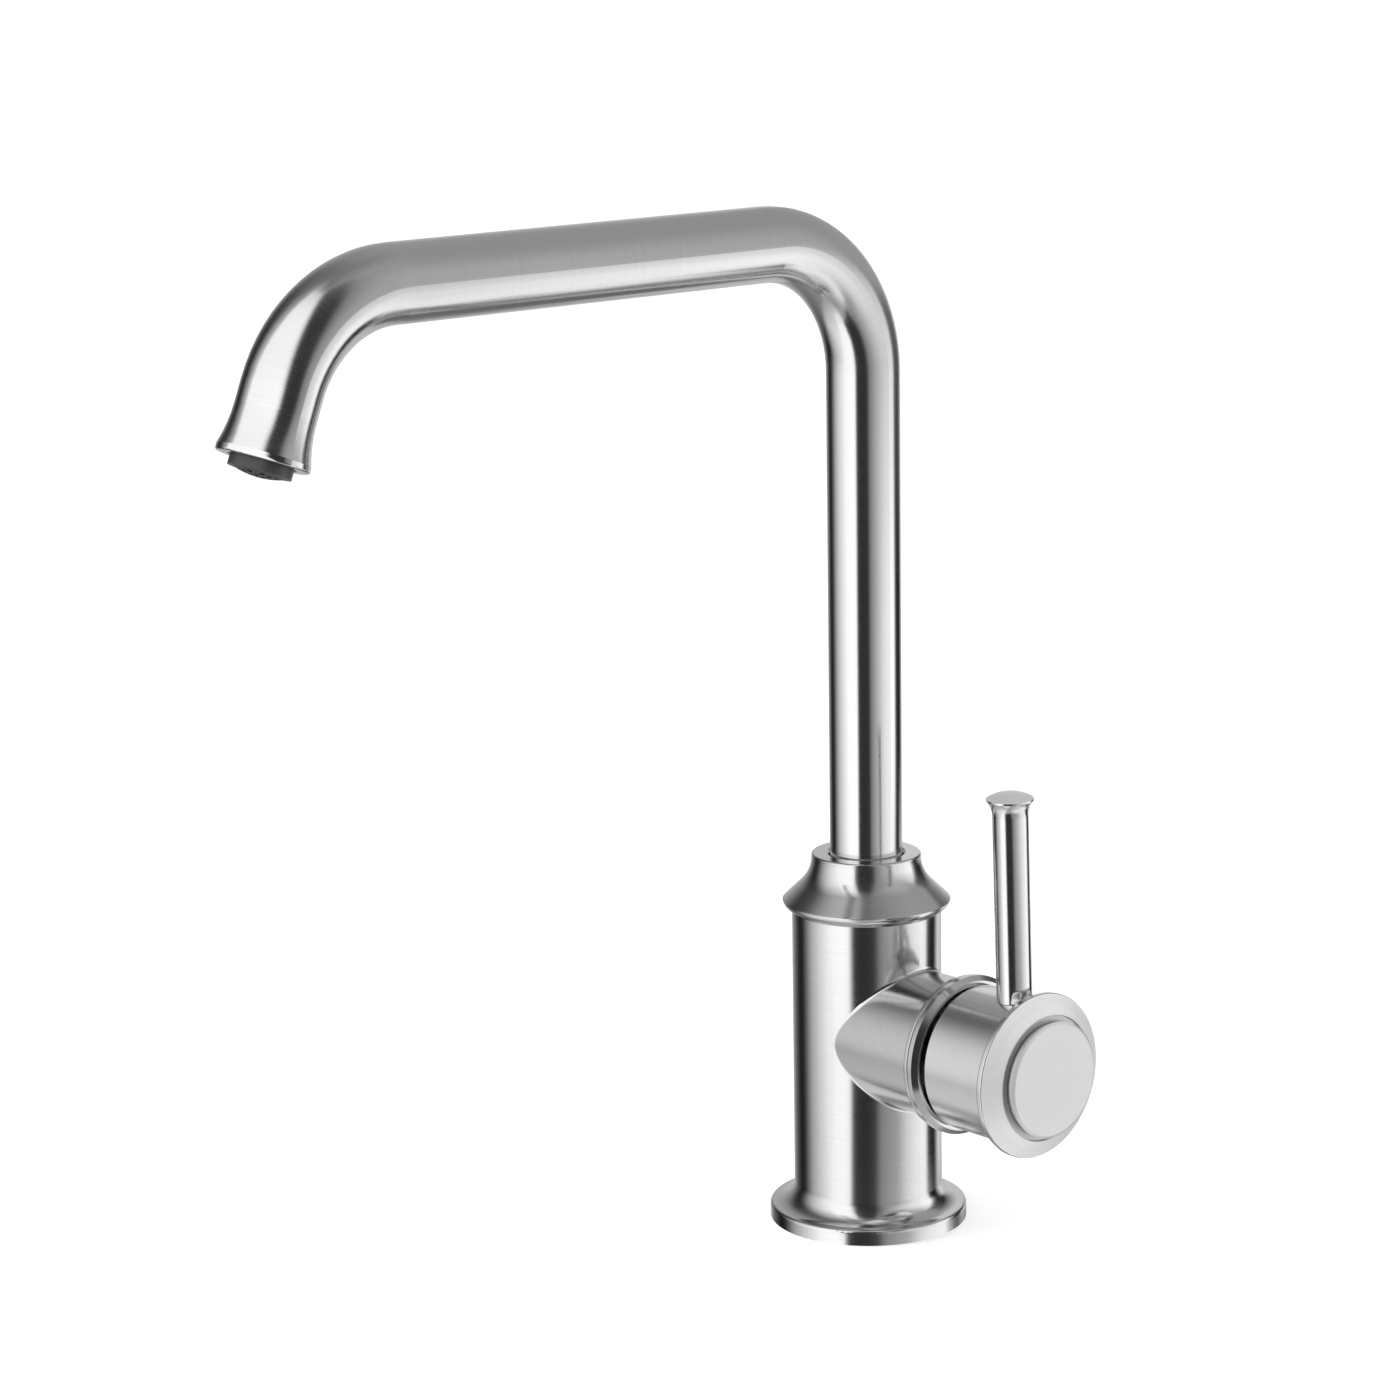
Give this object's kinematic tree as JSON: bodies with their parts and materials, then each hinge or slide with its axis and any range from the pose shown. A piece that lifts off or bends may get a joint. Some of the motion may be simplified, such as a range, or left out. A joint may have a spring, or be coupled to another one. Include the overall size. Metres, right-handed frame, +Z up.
{
  "type": "gooseneck bar faucet",
  "caption": "Single-hole gooseneck tap: swivelling square-bend spout with bell mouth, bell collar, flared-foot body and side lever on a ceramic cartridge.",
  "frame": {"origin": "centre of the foot's underside, on the deck", "axes": "+Z up along the riser, -Y along the spout, +X along the handle's axis"},
  "size_m": [0.1069, 0.2537, 0.3078],
  "materials": {
    "body_steel": "satin, brushed round the body",
    "collar_steel": "satin, brushed round",
    "ring_steel": "satin, brushed round",
    "drum_steel": "satin, brushed round",
    "cap_steel": "flat brushed face",
    "lever_steel": "satin, fine polish",
    "spout_steel": "satin, brushed along the tube",
    "fastener_steel": "plain machined",
    "brass": "machined",
    "alumina": "lapped",
    "white_plastic": "moulded",
    "cartridge_plastic": "moulded",
    "seal_rubber": "moulded",
    "aerator_grey": "moulded"
  },
  "bodies": {
    "fixed_body": {"valve_body": "body_steel", "base_seal": "seal_rubber", "spout_collar": "collar_steel", "lower_glide_ring": "white_plastic", "upper_glide_ring": "white_plastic", "cartridge_base": "cartridge_plastic", "cartridge_port_seals": "seal_rubber", "ceramic_disc_seals": "seal_rubber", "fixed_ceramic_disc": "alumina", "cartridge_housing": "cartridge_plastic", "cartridge_nut": "brass", "trim_ring": "ring_steel"},
    "handle": {"moving_ceramic_disc": "alumina", "disc_carrier": "white_plastic", "spindle": "brass", "spindle_o_ring": "seal_rubber", "handle_drum": "drum_steel", "handle_screw": "fastener_steel", "end_cap": "cap_steel", "lever_stud": "fastener_steel", "lever_rod": "lever_steel"},
    "spout": {"spout_tube": "spout_steel", "spout_adapter": "brass", "adapter_o_rings": "seal_rubber", "aerator_seal": "seal_rubber", "aerator_housing": "aerator_grey", "aerator_strainer": "white_plastic", "aerator_diffuser": "white_plastic", "aerator_nozzle": "aerator_grey"}
  },
  "joints": [
    {"name": "spout_swivel", "type": "hinge", "parent": "fixed_body", "child": "spout", "pos_m": [0, 0, 0.09], "axis": [0, 0, 1], "continuous": true},
    {"name": "handle_turn", "type": "hinge", "parent": "fixed_body", "child": "handle", "pos_m": [0.05, 0, 0.0596], "axis": [1, 0, 0], "range_deg": [0, 100]}
  ]
}
